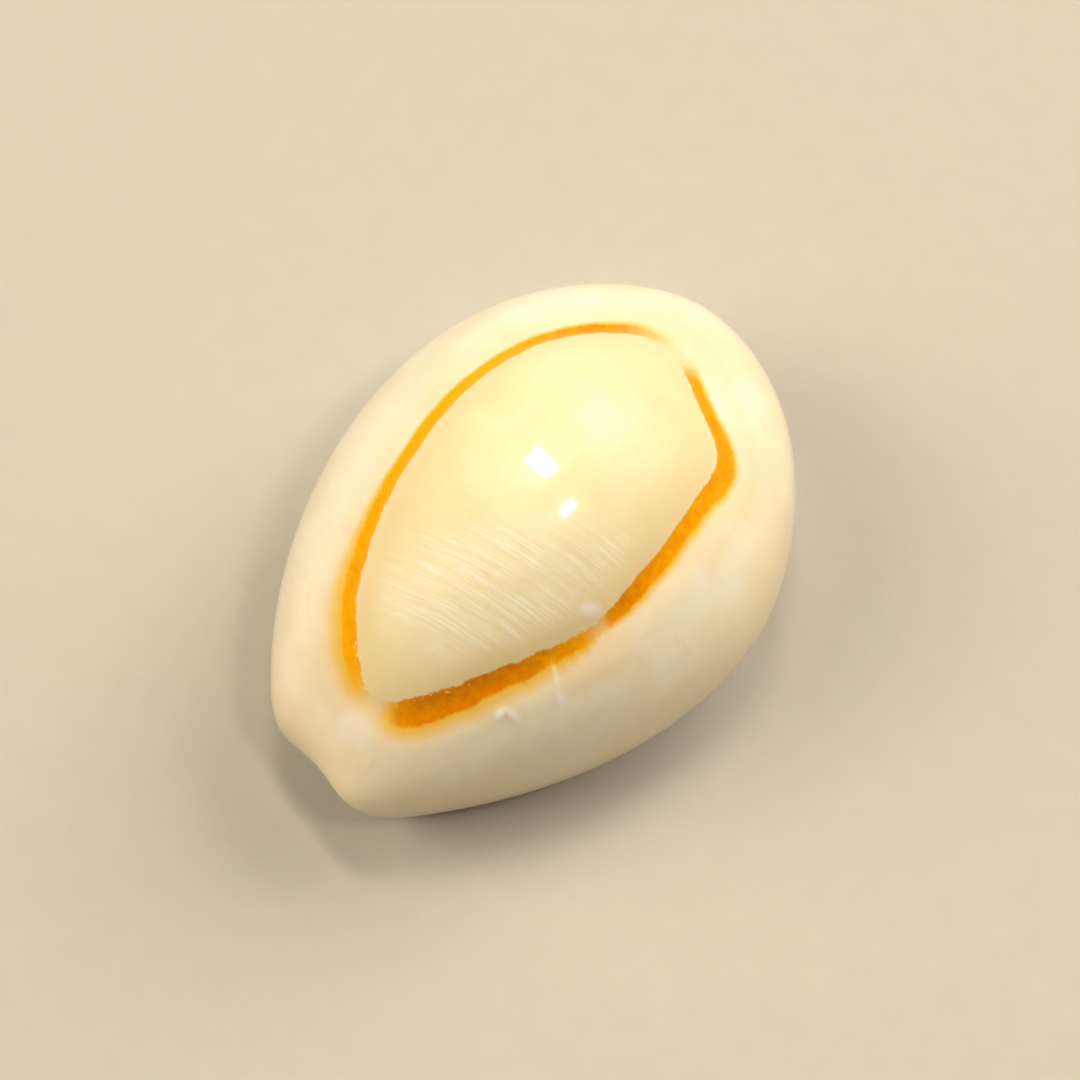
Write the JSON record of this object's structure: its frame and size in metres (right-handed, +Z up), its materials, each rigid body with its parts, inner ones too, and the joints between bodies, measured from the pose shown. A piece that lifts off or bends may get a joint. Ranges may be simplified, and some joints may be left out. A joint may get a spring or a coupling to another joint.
{
  "type": "cowrie shell",
  "caption": "Small glossy cowrie shell with a golden ring on its domed back and a toothed slot in its flat underside, resting slot down.",
  "frame": {"origin": "middle of the shell's length and width, on the surface that its flat underside rests on", "axes": "+Y towards the blunt rear end, -Y towards the front end with the canal, +X towards the inner-lip side, +Z up through the domed back"},
  "size_m": [0.0176, 0.024, 0.0124],
  "materials": {
    "porcelain": "high gloss natural porcelain: cream back, golden to burnt orange ring, paler callus, ivory base and teeth"
  },
  "bodies": {
    "root": {"shell": "porcelain"}
  },
  "joints": []
}
